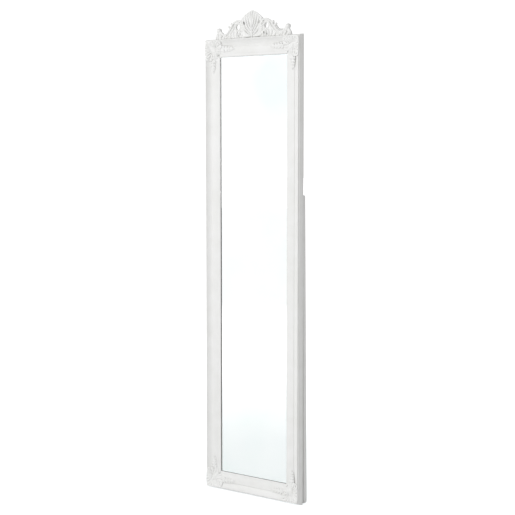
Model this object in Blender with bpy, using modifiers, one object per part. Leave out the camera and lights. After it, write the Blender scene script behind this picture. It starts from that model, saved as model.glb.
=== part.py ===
"""Free-standing easel-back floor mirror in a white moulded frame, 1.60 m high and 0.40 m wide.

Metres, +Z up. The glass faces -Y, +X is to the right seen from the front, and the origin is on the
floor, under the middle of the whole mirror. The stand hangs nearly shut behind the frame.
"""
import math

import bmesh
import bpy
from mathutils import Matrix, Vector

MM = 0.001
FIT = 0.3 * MM                      # gap between two pieces that touch

# Frame: the arris is the sharp front edge of the moulding, the flare its wider back.
FRAME_WIDTH = 400 * MM
FRAME_HEIGHT = 1515 * MM
FRAME_DEPTH = 24 * MM
FLARE = 6 * MM
MITRE_GAP = 0.2 * MM

# Glass, silver coat and backing board, as depths behind the arris. The board lies on the ledge.
GLASS_INSET = 47 * MM
BOARD_INSET = 40 * MM
GLASS_FRONT = 13.3 * MM
GLASS_THICKNESS = 3.0 * MM
SILVER_FRONT = 16.6 * MM
SILVER_THICKNESS = 0.4 * MM
LEDGE = 17.2 * MM
BOARD_FRONT = LEDGE + FIT
BOARD_THICKNESS = 3.0 * MM
EDGE_PLAY = 0.5 * MM

# Cast ornaments.
CORNER_PROUD = 6.1 * MM
CORNER_RAIL_LENGTH = 124 * MM
CORNER_STILE_LENGTH = 110 * MM
CREST_SET_BACK = 6 * MM
CREST_THICKNESS = FRAME_DEPTH - CREST_SET_BACK

# Stand, laid out shut and then swung open about its hinge pins.
POST_WIDTH = 30 * MM
POST_THICKNESS = 14 * MM
POST_INSET = 5 * MM
POST_TOP = 1004 * MM
FOOT_PAD = 2.0 * MM
POST_LENGTH = POST_TOP - FOOT_PAD - FIT     # the pads touch the floor when the mirror stands upright
SHUT_GAP = 1.6 * MM
REST_OPENING = math.radians(0.62)
STAND_RAIL_THICKNESS = 11 * MM
STAND_RAIL_HEIGHT = 42 * MM
STAND_RAIL_DROPS = (26 * MM, 935 * MM)
TENON_LENGTH = 16 * MM
TENON_HEIGHT = 20 * MM
TENON_DROP = 6 * MM                # the tenons sit low in the rails, clear of the hinge screws
TENON_THICKNESS = 6 * MM

# Butt hinges.
PIN_RADIUS = 1.0 * MM
BORE_RADIUS = 1.08 * MM
KNUCKLE_RADIUS = 1.8 * MM
LEAF_THICKNESS = 0.8 * MM
LEAF_HEIGHT = 23 * MM
HINGE_LENGTH = 24 * MM
KNUCKLE_SPLIT = 4.2 * MM            # half the middle knuckle's length

# Slotted stays.
STAY_PIVOT_DROP = 100 * MM
STAY_PIN_DROP = 300 * MM
STAY_LINE = 6.5 * MM                # how far both stay pins lie behind the hinge pin
STAY_WIDTH = 13 * MM
STAY_THICKNESS = 2.0 * MM
STAY_TRAVEL = 5.3 * MM
SLOT_WIDTH = 5.6 * MM
STAY_PIN_RADIUS = 2.25 * MM
RIVET_RADIUS = 2.0 * MM
RIVET_BORE = 2.08 * MM
EAR_THICKNESS = 1.5 * MM

# The whole depth, from the proudest leaf to the back of the feet, is centred on y = 0.
SWING = (POST_LENGTH + 2 * MM) * math.sin(REST_OPENING)
Y_ARRIS = -(FRAME_DEPTH + SHUT_GAP + POST_THICKNESS + SWING - CORNER_PROUD) / 2
Y_BACK = Y_ARRIS + FRAME_DEPTH
ARRIS_X = FRAME_WIDTH / 2 - FLARE
ARRIS_TOP = FRAME_HEIGHT - FLARE
ARRIS_BOTTOM = FLARE

HINGE_Y = Y_BACK + FIT + KNUCKLE_RADIUS
HINGE_Z = POST_TOP + KNUCKLE_RADIUS + FIT
POST_OUTER = FRAME_WIDTH / 2 - POST_INSET
POST_INNER = POST_OUTER - POST_WIDTH
POST_MIDDLE = (POST_OUTER + POST_INNER) / 2
POST_FRONT = SHUT_GAP - FIT - KNUCKLE_RADIUS        # behind the hinge pin
STAY_X = POST_INNER - 2.6 * MM
STAY_REST = math.atan2(
    STAY_PIN_DROP * math.sin(REST_OPENING),
    STAY_PIN_DROP * math.cos(REST_OPENING) - STAY_PIVOT_DROP,
)

PAINT = ("white_satin_paint", (0.86, 0.86, 0.85), 0.42, 0.0)
RESIN = ("white_painted_resin", (0.87, 0.87, 0.86), 0.40, 0.0)
GLASS = ("float_glass", (0.85, 0.93, 0.92), 0.03, 0.0)
SILVER = ("silver_coat", (0.93, 0.94, 0.95), 0.03, 1.0)
BOARD = ("brown_fibreboard", (0.42, 0.30, 0.20), 0.75, 0.0)
ZINC = ("zinc_plated_steel", (0.66, 0.67, 0.68), 0.35, 1.0)
FELT = ("white_felt", (0.80, 0.80, 0.78), 0.95, 0.0)

SIDES = (("left", -1), ("right", 1))


def clear_scene():
    for item in list(bpy.data.objects):
        bpy.data.objects.remove(item, do_unlink=True)


def new_collection(name):
    collection = bpy.data.collections.new(name)
    bpy.context.scene.collection.children.link(collection)
    return collection


def material(finish):
    name, colour, roughness, metallic = finish
    found = bpy.data.materials.get(name)
    if found:
        return found
    made = bpy.data.materials.new(name)
    made.use_nodes = True
    made.diffuse_color = (*colour, 1.0)
    shader = made.node_tree.nodes["Principled BSDF"]
    shader.inputs["Base Color"].default_value = (*colour, 1.0)
    shader.inputs["Roughness"].default_value = roughness
    shader.inputs["Metallic"].default_value = metallic
    return made


def place(name, mesh, finish, parent=None, matrix=None):
    """Add a sub-part, at a place given in its parent's frame."""
    item = bpy.data.objects.new(name, mesh)
    PARTS.objects.link(item)
    if not mesh.materials:
        mesh.materials.append(material(finish))
    item.parent = parent
    if matrix is not None:
        item.matrix_local = matrix
    return item


def wire(name, mesh):
    """Add a cutter or another shape that only helps to make a part."""
    item = bpy.data.objects.new(name, mesh)
    HELPERS.objects.link(item)
    item.hide_render = True
    item.display_type = "WIRE"
    return item


def joint_axis(name, x, y, z, turn):
    """An empty on a joint's axis, turned to the joint's resting angle."""
    axis = bpy.data.objects.new(name, None)
    PARTS.objects.link(axis)
    axis.location = (x, y, z)
    axis.rotation_euler = (turn, 0, 0)
    bpy.context.view_layer.update()
    return axis


def mesh_from(bm, name):
    bmesh.ops.recalc_face_normals(bm, faces=bm.faces)
    mesh = bpy.data.meshes.new(name)
    bm.to_mesh(mesh)
    bm.free()
    return mesh


def box(name, low, high):
    """A box between two corners."""
    low, high = Vector(low), Vector(high)
    bm = bmesh.new()
    bmesh.ops.create_cube(bm, size=1)
    bmesh.ops.scale(bm, vec=high - low, verts=bm.verts)
    bmesh.ops.translate(bm, vec=(low + high) / 2, verts=bm.verts)
    return mesh_from(bm, name)


def cylinder(name, radius, low, high, axis, segments=16):
    """A round bar along "X" or "Y" between two centre points."""
    low, high = Vector(low), Vector(high)
    turn = Matrix.Rotation(math.pi / 2, 4, "Y" if axis == "X" else "X")
    bm = bmesh.new()
    bmesh.ops.create_cone(
        bm, cap_ends=True, segments=segments, radius1=radius, radius2=radius,
        depth=(high - low).length, matrix=Matrix.Translation((low + high) / 2) @ turn,
    )
    return mesh_from(bm, name)


def turned(name, profile, segments=16):
    """A turned mesh about Z, from (radius, height) points running down its outer side."""
    mesh = bpy.data.meshes.new(name + "_profile")
    points = [(radius, 0, height) for radius, height in profile]
    mesh.from_pydata(points, [(i, i + 1) for i in range(len(points) - 1)], [])
    item = wire(name + "_profile", mesh)
    screw = item.modifiers.new("turn", "SCREW")
    screw.steps = screw.render_steps = segments
    screw.use_merge_vertices = True
    screw.merge_threshold = 0.00001
    mesh = baked(item, name)
    bm = bmesh.new()
    bm.from_mesh(mesh)
    bmesh.ops.remove_doubles(bm, verts=bm.verts, dist=0.000001)
    return mesh_from(bm, name)


def baked(item, name):
    """The evaluated mesh of a helper, which is then removed."""
    bpy.context.view_layer.update()
    graph = bpy.context.evaluated_depsgraph_get()
    mesh = bpy.data.meshes.new_from_object(item.evaluated_get(graph))
    mesh.name = name
    bpy.data.objects.remove(item, do_unlink=True)
    return mesh


def carved(name, mesh, cuts=(), joins=(), solver="EXACT"):
    """A mesh with others joined to it and then others cut out of it."""
    base = wire(name + "_blank", mesh)
    for operation, shapes in (("UNION", joins), ("DIFFERENCE", cuts)):
        for index, shape in enumerate(shapes):
            boolean = base.modifiers.new(f"{operation}_{index}", "BOOLEAN")
            boolean.operation = operation
            boolean.solver = solver
            boolean.object = wire(f"{name}_{operation.lower()}_{index}", shape)
    return baked(base, name)


def rounded(mesh, width, segments=2):
    """The mesh with its sharp edges rounded."""
    item = wire(mesh.name + "_blank", mesh)
    bevel = item.modifiers.new("round", "BEVEL")
    bevel.width = width
    bevel.segments = segments
    return baked(item, mesh.name)


def bow(start, end, rise, steps):
    """Points from start to just before end along an arc that stands off the chord by rise.

    A positive rise bulges to the left of the way from start to end.
    """
    (x0, y0), (x1, y1) = start, end
    chord = math.hypot(x1 - x0, y1 - y0)
    radius = (chord / 2) ** 2 / (2 * abs(rise)) + abs(rise) / 2
    half = math.asin(min(1.0, chord / (2 * radius)))
    normal = (-(y1 - y0) / chord, (x1 - x0) / chord)
    side = math.copysign(1, rise)
    points = []
    for step in range(steps):
        angle = half * (2 * step / steps - 1)
        along = chord / 2 + radius * math.sin(angle)
        off = side * (radius * math.cos(angle) - radius * math.cos(half))
        points.append((
            x0 + (x1 - x0) * along / chord + normal[0] * off,
            y0 + (y1 - y0) * along / chord + normal[1] * off,
        ))
    return points


def moulding_profile():
    """The moulding's section as (inset from the arris, depth behind the arris) in millimetres.

    Depth grows away from the eye, so a bow with a negative rise stands proud.
    """
    return [
        *bow((-5, 24), (-6, 23), -0.3, 3),
        *bow((-6, 8.6), (-3.5, 6.4), 0.6, 4),
        *bow((-3.5, 6.4), (-1.3, 2.6), -1.1, 6),
        (-0.2, 2.6),
        *bow((-0.4, 1.2), (1.0, 0.0), -0.35, 3),
        *bow((1.0, 0.0), (22.2, 8.4), 1.6, 9),
        *bow((22.2, 8.4), (25.6, 10.2), -1.2, 5),
        (25.8, 12.0),
        *bow((26.6, 12.0), (48.0, 11.0), -1.3, 8),
        *bow((48.0, 11.0), (55.0, 12.7), -0.9, 5),
        (55.0, 13.0),
        (GLASS_INSET / MM, 13.0),
        (GLASS_INSET / MM, LEDGE / MM),
        (BOARD_INSET / MM, LEDGE / MM),
        (BOARD_INSET / MM, FRAME_DEPTH / MM),
    ]


def loft(name, sections, split=True):
    """A closed body through rings of points that match one to one, split into triangles or not."""
    bm = bmesh.new()
    rings = [[bm.verts.new(point) for point in section] for section in sections]
    for ring, following in zip(rings, rings[1:]):
        for index in range(len(ring)):
            beside = (index + 1) % len(ring)
            bm.faces.new((ring[index], ring[beside], following[beside], following[index]))
    for end in (rings[0], rings[-1]):
        bm.faces.new(end)
    if split:
        bmesh.ops.triangulate(bm, faces=bm.faces, ngon_method="EAR_CLIP")
    return mesh_from(bm, name)


def stile_mesh(name, side, holes):
    """An upright moulding, mitred at both ends."""
    profile = moulding_profile()
    ends = []
    for corner, inward in ((ARRIS_BOTTOM, 1), (ARRIS_TOP, -1)):
        ends.append([
            (side * (ARRIS_X - a * MM), Y_ARRIS + d * MM, corner + inward * (a * MM + MITRE_GAP))
            for a, d in profile
        ])
    return carved(name, loft(name, ends), cuts=holes, solver="MANIFOLD")


def rail_mesh(name, edge, inward, holes):
    """A level moulding, mitred at both ends."""
    profile = moulding_profile()
    ends = []
    for side in (-1, 1):
        ends.append([
            (side * (ARRIS_X - a * MM - MITRE_GAP), Y_ARRIS + d * MM, edge + inward * a * MM)
            for a, d in profile
        ])
    return carved(name, loft(name, ends), cuts=holes, solver="MANIFOLD")


def cross_screw(name, head_radius, head_height, shank_radius, length):
    """A wood screw along Z: its head's seat is at z = 0 and its tip points down."""
    blank = turned(name + "_blank", [
        (0, head_height),
        (head_radius * 0.7, head_height * 0.9),
        (head_radius, head_height * 0.4),
        (head_radius, 0),
        (shank_radius, 0),
        (shank_radius, -length * 0.72),
        (0, -length),
    ], segments=12)
    half, slot, deep = head_radius * 0.52, head_radius * 0.13, head_height * 0.5
    top = head_height * 2
    return carved(name, blank, cuts=[
        box("slot_x", (-half, -slot, deep), (half, slot, top)),
        box("slot_y", (-slot, -half, deep), (slot, half, top)),
    ])


def drive(name, mesh, x, y, z, backwards=True, parent=None):
    """Set a screw with its head on the rear side, or on the front side, of what it holds."""
    turn = Matrix.Rotation(-math.pi / 2 if backwards else math.pi / 2, 4, "X")
    place(name, mesh, ZINC, parent, Matrix.Translation((x, y, z)) @ turn)


def pilot(name, x, z, low, high, radius):
    """A cutter for a screw hole along Y."""
    return cylinder(name, radius, (x, low, z), (x, high, z), "Y", segments=10)


def board_screw_places():
    """Two columns of three screws and one at each end of the board."""
    edge = ARRIS_X - (GLASS_INSET + BOARD_INSET) / 2
    low = ARRIS_BOTTOM + (GLASS_INSET + BOARD_INSET) / 2
    high = ARRIS_TOP - (GLASS_INSET + BOARD_INSET) / 2
    middle = (low + high) / 2
    places = {"bottom": (0.0, low), "top": (0.0, high)}
    for side_name, side in SIDES:
        for level, z in (("low", low + 0.11), ("middle", middle), ("high", high - 0.11)):
            places[f"{side_name}_{level}"] = (side * edge, z)
    return places


HINGE_SCREWS = {"frame": ((-7, -9), (7, -17)), "stand": ((-7, -17), (7, -9))}
CREST_PLATE_X = 104 * MM
CREST_PLATE_LOW = FRAME_HEIGHT - 26 * MM
CREST_PLATE_HIGH = FRAME_HEIGHT + 20 * MM
CREST_SCREW_HEIGHTS = (("lower", FRAME_HEIGHT - 16 * MM), ("upper", FRAME_HEIGHT + 12 * MM))
BRACKET_X = POST_INNER - 7.2 * MM
BRACKET_SCREWS = (("upper", 16 * MM), ("lower", -16 * MM))


def build_frame_moulding():
    """Four mitred mouldings with the screw holes in their backs."""
    holes = {"left": [], "right": [], "top": [], "bottom": []}
    ledge = Y_ARRIS + LEDGE
    for label, (x, z) in board_screw_places().items():
        holes[label.split("_")[0]].append(
            pilot("board_hole", x, z, ledge - 6.2 * MM, ledge + 1 * MM, 1.7 * MM))
    for label, side in SIDES:
        for dx, dz in HINGE_SCREWS["frame"]:
            holes[label].append(pilot(
                "hinge_hole", side * POST_MIDDLE + dx * MM, HINGE_Z + dz * MM,
                Y_BACK - 9 * MM, Y_BACK + 1 * MM, 1.5 * MM))
        for _, dz in BRACKET_SCREWS:
            holes[label].append(pilot(
                "bracket_hole", side * BRACKET_X, HINGE_Z - STAY_PIVOT_DROP + dz,
                Y_BACK - 9 * MM, Y_BACK + 1 * MM, 1.5 * MM))
        holes["top"].append(pilot(
            "crest_hole", side * CREST_PLATE_X, CREST_SCREW_HEIGHTS[0][1],
            Y_BACK - 8 * MM, Y_BACK + 1 * MM, 1.7 * MM))
    for label, side in SIDES:
        place(f"{label}_stile", stile_mesh(f"{label}_stile", side, holes[label]), PAINT)
    place("top_rail", rail_mesh("top_rail", ARRIS_TOP, -1, holes["top"]), PAINT)
    place("bottom_rail", rail_mesh("bottom_rail", ARRIS_BOTTOM, 1, holes["bottom"]), PAINT)


def layer(name, inset, front, thickness):
    """A sheet that fills the frame's rabbet, as wide as the inset allows."""
    half = ARRIS_X - inset - EDGE_PLAY
    return box(
        name,
        (-half, Y_ARRIS + front, ARRIS_BOTTOM + inset + EDGE_PLAY),
        (half, Y_ARRIS + front + thickness, ARRIS_TOP - inset - EDGE_PLAY),
    )


def build_glazing():
    """The glass, its silver coat, the backing board and the screws that hold them in."""
    pane = rounded(layer("glass_pane", GLASS_INSET, GLASS_FRONT, GLASS_THICKNESS), 0.4 * MM, 1)
    place("glass_pane", pane, GLASS)
    place("silver_coat", layer("silver_coat", GLASS_INSET, SILVER_FRONT, SILVER_THICKNESS), SILVER)
    board_back = Y_ARRIS + BOARD_FRONT + BOARD_THICKNESS
    holes = [
        pilot("board_hole", x, z, Y_ARRIS + BOARD_FRONT - 1 * MM, board_back + 1 * MM, 1.8 * MM)
        for x, z in board_screw_places().values()
    ]
    board = layer("backing_board", BOARD_INSET, BOARD_FRONT, BOARD_THICKNESS)
    place("backing_board", carved("backing_board", board, cuts=holes), BOARD)
    screw = cross_screw("board_screw", 3.2 * MM, 1.7 * MM, 1.4 * MM, 8.8 * MM)
    for label, (x, z) in board_screw_places().items():
        drive(f"board_screw_{label}", screw, x, board_back + FIT, z)


# The ornament's underside: it bridges the moulding's fine steps and clears it everywhere.
CORNER_SEAT = [
    (56.0, 10.9),
    (52.0, 10.9),
    (48.0, 10.0),
    (38.0, 9.3),
    (27.0, 10.6),
    (24.6, 7.8),
    (21.0, 7.4),
    (3.0, 0.9),
    (0.4, -0.4),
    (-0.8, 0.8),
    (-2.4, 0.8),
]


def corner_section():
    """The corner ornament's section as (inset, depth) in millimetres: it hugs the moulding."""
    return [
        (-2.8, -1.0),
        *bow((-2.6, -2.2), (8.0, -3.6), -1.6, 3),
        *bow((8.0, -3.6), (24.0, 3.2), 0.8, 3),
        *bow((24.0, 3.2), (50.0, 5.2), -0.8, 3),
        *bow((50.0, 5.2), (56.0, 10.2), -1.2, 2),
        *CORNER_SEAT,
    ]


def seat_section():
    """The section of all that lies more than 1 mm below the ornament's underside."""
    edge = [*CORNER_SEAT, (-10.0, 0.8), (-10.0, 40.0), (60.0, 40.0), (60.0, 10.9)]
    return [(a, d - 1.0) for a, d in edge]


def corner_outline():
    """The corner ornament's outline as (along the rail, along the stile) in millimetres."""
    round_corner = bow((-3, 9), (9, -3), -3.4, 4)
    leg = [
        *bow((9, -3), (22, 0), -1.8, 2),
        *bow((22, 0), (34, -1), 1.6, 2),
        *bow((34, -1), (80, 6), -3.6, 3),
        *bow((80, 6), (124, 20), -3.0, 3),
        *bow((124, 20), (98, 28), -3.5, 3),
        *bow((98, 28), (76, 40), -3.0, 2),
        *bow((76, 40), (57, 57), -4.0, 3),
    ]
    shorter = CORNER_STILE_LENGTH / CORNER_RAIL_LENGTH
    mirrored = [(v, u if u < 60 else 60 + (u - 60) * shorter) for u, v in reversed(leg[1:])]
    return round_corner + leg + mirrored


def corner_point(across, up, u, y, v):
    """The place of a point given from the arris corner, inwards along the rail and the stile."""
    edge = ARRIS_TOP if up > 0 else ARRIS_BOTTOM
    return (across * (ARRIS_X - u * MM), y, edge - up * v * MM)


def corner_strip(name, across, up, section):
    """A section swept along the rail, round the mitre and along the stile."""
    reach = (CORNER_RAIL_LENGTH + 4 * MM) / MM
    return loft(name, [
        [corner_point(across, up, reach, Y_ARRIS + d * MM, a) for a, d in section],
        [corner_point(across, up, a, Y_ARRIS + d * MM, a) for a, d in section],
        [corner_point(across, up, a, Y_ARRIS + d * MM, reach) for a, d in section],
    ])


def corner_mesh(name, across, up):
    """A strip that hugs both mouldings round the mitre, trimmed to the leaf outline."""
    strip = corner_strip(name + "_strip", across, up, corner_section())
    outline = corner_outline()
    trim = loft(name + "_trim", [
        [corner_point(across, up, u, Y_ARRIS + depth, v) for u, v in outline]
        for depth in (-20 * MM, 20 * MM)
    ])
    blank = wire(name + "_blank", strip)
    boolean = blank.modifiers.new("trim", "BOOLEAN")
    boolean.operation = "INTERSECT"
    boolean.solver = "MANIFOLD"
    boolean.object = wire(name + "_trim", trim)
    seat = corner_strip(name + "_seat", across, up, seat_section())
    leaf = carved(name + "_leaf", mitre_leaf(name, across, up), cuts=[seat], solver="MANIFOLD")
    return carved(name, baked(blank, name), joins=[leaf], solver="MANIFOLD")


def mitre_leaf(name, across, up):
    """The raised middle leaf along the mitre, with its tip towards the glass."""
    bm = bmesh.new()
    bmesh.ops.create_uvsphere(bm, u_segments=12, v_segments=7, radius=1)
    bmesh.ops.scale(bm, vec=(31 * MM, 4.2 * MM, 11 * MM), verts=bm.verts)
    diagonal = Matrix.Rotation(across * up * math.radians(-45), 4, "Y")
    slope = Matrix.Rotation(math.radians(7) * across, 4, "Z")
    centre = corner_point(across, up, 24, Y_ARRIS - 0.8 * MM, 24)
    bmesh.ops.transform(bm, matrix=Matrix.Translation(centre) @ diagonal @ slope, verts=bm.verts)
    return mesh_from(bm, name + "_leaf")


def build_corners():
    for label, up in (("top", 1), ("bottom", -1)):
        for side_name, side in SIDES:
            name = f"{label}_{side_name}_corner_leaf"
            place(name, corner_mesh(name, side, up), RESIN)


def crest_half():
    """Half of the crest's outline from its top to its foot, in millimetres over the arris."""
    return [
        *bow((0, 91.5), (40.5, 65), 3.4, 7),
        *bow((40.5, 65), (43, 60), 0.4, 2),
        *bow((43, 60), (71, 58.5), 4.4, 6),
        *bow((71, 58.5), (84, 52), 0.9, 3),
        *bow((84, 52), (94, 46), 3.0, 4),
        *bow((94, 46), (105, 34), 2.2, 4),
        *bow((105, 34), (126, 21.5), -2.0, 4),
        *bow((126, 21.5), (137, 37), 2.0, 4),
        *bow((137, 37), (152, 31), 6.0, 5),
        *bow((152, 31), (160, 6.8), 1.2, 4),
        (160, 6.8),
    ]


def ring(cx, cy, rx, ry, lean, steps):
    """An oval of points, leaning by an angle."""
    points = []
    for step in range(steps):
        angle = 2 * math.pi * step / steps
        x, y = rx * math.cos(angle), ry * math.sin(angle)
        points.append((
            cx + x * math.cos(lean) - y * math.sin(lean),
            cy + x * math.sin(lean) + y * math.cos(lean),
        ))
    return points


def crest_prism(name, points, front, back):
    """A slab with the given outline between two depths behind the arris."""
    return loft(name, [
        [(x * MM, Y_ARRIS + depth, ARRIS_TOP + h * MM) for x, h in points]
        for depth in (front, back)
    ], split=False)


def ribbon(points, width):
    """The outline of a band of even width along a line of points."""
    left, right = [], []
    last = len(points) - 1
    for index, (x, y) in enumerate(points):
        before, after = points[max(index - 1, 0)], points[min(index + 1, last)]
        run = Vector((after[0] - before[0], after[1] - before[1])).normalized() * width / 2
        left.append((x - run.y, y + run.x))
        right.append((x + run.y, y - run.x))
    return left + right[::-1]


def crest_ridges():
    """The ribs of the shell and the scrolls beside it, as raised bands on the crest's face."""
    lines = [([(0.3 * x, 16), (0.75 * x, 46), (x, h)], 5.5)
             for x, h in ((-30, 66), (-15, 77), (0, 85), (15, 77), (30, 66))]
    for _, side in SIDES:
        arch = [*bow((120, 15), (84, 43), 2.2, 5), *bow((84, 43), (49, 49), 9, 6), (44, 41)]
        curl = [*bow((127, 12), (137, 31), 1.5, 4), *bow((137, 31), (152, 16), 6.5, 6)]
        lines.append(([(side * x, h) for x, h in arch], 5.2))
        lines.append(([(side * x, h) for x, h in curl], 4.6))
    return [crest_prism("ridge", ribbon(points, width), CREST_SET_BACK, CREST_SET_BACK + 5 * MM)
            for points, width in lines]


def build_crest():
    """The pierced crest and the two plates that hold it to the top rail."""
    half = crest_half()
    outline = half + [(-x, h) for x, h in reversed(half[1:])]
    slab = crest_prism("crest", outline, CREST_SET_BACK + 3 * MM, CREST_SET_BACK + CREST_THICKNESS)
    cuts = []
    for _, side in SIDES:
        for cx, cy, rx, ry, lean in ((60, 39.5, 8.2, 8.2, 0), (33.5, 49, 2.2, 4.8, -0.35)):
            hole = ring(side * cx, cy, rx, ry, side * lean, 12)
            cuts.append(crest_prism("hole", hole, 0, FRAME_DEPTH + 5 * MM))
        cuts.append(pilot("crest_hole", side * CREST_PLATE_X, CREST_SCREW_HEIGHTS[1][1],
                          Y_BACK - 8 * MM, Y_BACK + 1 * MM, 1.7 * MM))
    place("crest", carved("crest", slab, cuts=cuts, joins=crest_ridges()), RESIN)
    screw = cross_screw("crest_screw", 3.0 * MM, 1.6 * MM, 1.4 * MM, 8.0 * MM)
    plate_front, plate_back = Y_BACK + FIT, Y_BACK + FIT + 1.2 * MM
    for label, side in SIDES:
        x = side * CREST_PLATE_X
        plate = rounded(box("crest_plate", (x - 6 * MM, plate_front, CREST_PLATE_LOW),
                            (x + 6 * MM, plate_back, CREST_PLATE_HIGH)), 0.3 * MM, 1)
        holes = [pilot("plate_hole", x, z, plate_front - 1 * MM, plate_back + 1 * MM, 1.7 * MM)
                 for _, z in CREST_SCREW_HEIGHTS]
        place(f"{label}_crest_plate", carved("crest_plate", plate, cuts=holes), ZINC)
        for level, z in CREST_SCREW_HEIGHTS:
            drive(f"{label}_crest_screw_{level}", screw, x, plate_back + 0.1 * MM, z)


def post_mesh(side):
    """A stand post in the stand's frame, with its hinge seat, mortises and screw holes."""
    top = POST_TOP - HINGE_Z
    back = POST_FRONT + POST_THICKNESS
    x0, x1 = sorted((side * POST_INNER, side * POST_OUTER))
    blank = rounded(box("post", (x0, POST_FRONT, top - POST_LENGTH), (x1, back, top)), 1.6 * MM)
    middle = side * POST_MIDDLE
    seat = HINGE_LENGTH / 2 + 0.5 * MM
    cuts = [box("hinge_seat", (middle - seat, POST_FRONT - 5 * MM, top - LEAF_HEIGHT),
                (middle + seat, KNUCKLE_RADIUS + FIT, top + 5 * MM))]
    for dx, dz in HINGE_SCREWS["stand"]:
        cuts.append(pilot("hinge_hole", middle + dx * MM, dz * MM, 0, 9.5 * MM, 1.5 * MM))
    inner = side * (POST_INNER - 5 * MM)
    deep = side * (POST_INNER + TENON_LENGTH + FIT)
    low_x, high_x = sorted((inner, deep))
    half = TENON_THICKNESS / 2 + FIT
    centre = POST_FRONT + POST_THICKNESS / 2
    for drop in STAND_RAIL_DROPS:
        tall = TENON_HEIGHT / 2 + FIT
        z = top - drop - TENON_DROP
        cuts.append(box("mortise", (low_x, centre - half, z - tall), (high_x, centre + half, z + tall)))
    cuts.append(cylinder(
        "stay_hole", 2.1 * MM, (inner, STAY_LINE, -STAY_PIN_DROP),
        (side * (POST_INNER + 9 * MM), STAY_LINE, -STAY_PIN_DROP), "X", segments=12))
    return carved("post", blank, cuts=cuts)


def build_stand(axis):
    """Posts, tenoned rails and felt pads, which all swing on the hinge pins."""
    top = POST_TOP - HINGE_Z
    for label, side in SIDES:
        place(f"{label}_stand_post", post_mesh(side), PAINT, axis)
        x0, x1 = sorted((side * (POST_INNER + 2 * MM), side * (POST_OUTER - 2 * MM)))
        under = top - POST_LENGTH - FIT
        pad = box("foot_pad", (x0, POST_FRONT + 2 * MM, under - FOOT_PAD),
                  (x1, POST_FRONT + POST_THICKNESS - 2 * MM, under))
        place(f"{label}_foot_pad", rounded(pad, 0.6 * MM, 1), FELT, axis)
    centre = POST_FRONT + POST_THICKNESS / 2
    half = STAND_RAIL_THICKNESS / 2
    for label, drop in zip(("upper", "lower"), STAND_RAIL_DROPS):
        z = top - drop
        tall = STAND_RAIL_HEIGHT / 2
        reach = POST_INNER - FIT
        body = rounded(box("stand_rail", (-reach, centre - half, z - tall),
                           (reach, centre + half, z + tall)), 1.2 * MM)
        long = POST_INNER + TENON_LENGTH
        low = z - TENON_DROP - TENON_HEIGHT / 2
        tenon = box("tenon", (-long, centre - TENON_THICKNESS / 2, low),
                    (long, centre + TENON_THICKNESS / 2, low + TENON_HEIGHT))
        place(f"{label}_stand_rail", carved("stand_rail", body, joins=[tenon]), PAINT, axis)


def leaf_mesh(name, x, rear, middle_knuckle):
    """A hinge leaf about the pin at the origin: a plate rolled round the pin at its top edge."""
    near, far = (KNUCKLE_RADIUS - LEAF_THICKNESS, KNUCKLE_RADIUS)
    low_y, high_y = (near, far) if rear else (-far, -near)
    half = HINGE_LENGTH / 2
    plate = box(name, (x - half, low_y, -LEAF_HEIGHT), (x + half, high_y, 0))
    barrel = cylinder("barrel", KNUCKLE_RADIUS, (x - half, 0, 0), (x + half, 0, 0), "X", 24)
    bore = cylinder("bore", BORE_RADIUS, (x - half - MM, 0, 0), (x + half + MM, 0, 0), "X", 24)
    room = KNUCKLE_RADIUS + FIT
    if middle_knuckle:
        gaps = [(-half - MM, -KNUCKLE_SPLIT), (KNUCKLE_SPLIT, half + MM)]
    else:
        gaps = [(-KNUCKLE_SPLIT - FIT, KNUCKLE_SPLIT + FIT)]
    cuts = [bore] + [box("gap", (x + a, -room, -room), (x + b, room, room)) for a, b in gaps]
    places = HINGE_SCREWS["stand" if rear else "frame"]
    cuts += [pilot("leaf_hole", x + dx * MM, dz * MM, -3 * MM, 3 * MM, 1.5 * MM) for dx, dz in places]
    return carved(name, plate, cuts=cuts, joins=[barrel])


def build_hinges(axis):
    """Two butt hinges: one leaf on the frame with the pin, the other let into the post."""
    screw = cross_screw("hinge_screw", 2.4 * MM, 0.7 * MM, 1.2 * MM, 8.0 * MM)
    for label, side in SIDES:
        x = side * POST_MIDDLE
        at_hinge = Matrix.Translation((0, HINGE_Y, HINGE_Z))
        frame_leaf = leaf_mesh("frame_leaf", x, False, False)
        place(f"{label}_hinge_frame_leaf", frame_leaf, ZINC, None, at_hinge)
        place(f"{label}_hinge_stand_leaf", leaf_mesh("stand_leaf", x, True, True), ZINC, axis)
        long = HINGE_LENGTH / 2 + 0.6 * MM
        pin = cylinder("hinge_pin", PIN_RADIUS, (x - long, 0, 0), (x + long, 0, 0), "X", 24)
        place(f"{label}_hinge_pin", pin, ZINC, None, at_hinge)
        for number, (dx, dz) in enumerate(HINGE_SCREWS["frame"], 1):
            drive(f"{label}_hinge_frame_screw_{number}", screw, x + dx * MM,
                  Y_BACK + FIT + LEAF_THICKNESS + 0.05 * MM, HINGE_Z + dz * MM)
        for number, (dx, dz) in enumerate(HINGE_SCREWS["stand"], 1):
            drive(f"{label}_hinge_stand_screw_{number}", screw, x + dx * MM,
                  KNUCKLE_RADIUS - LEAF_THICKNESS - 0.05 * MM, dz * MM, False, axis)


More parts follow.
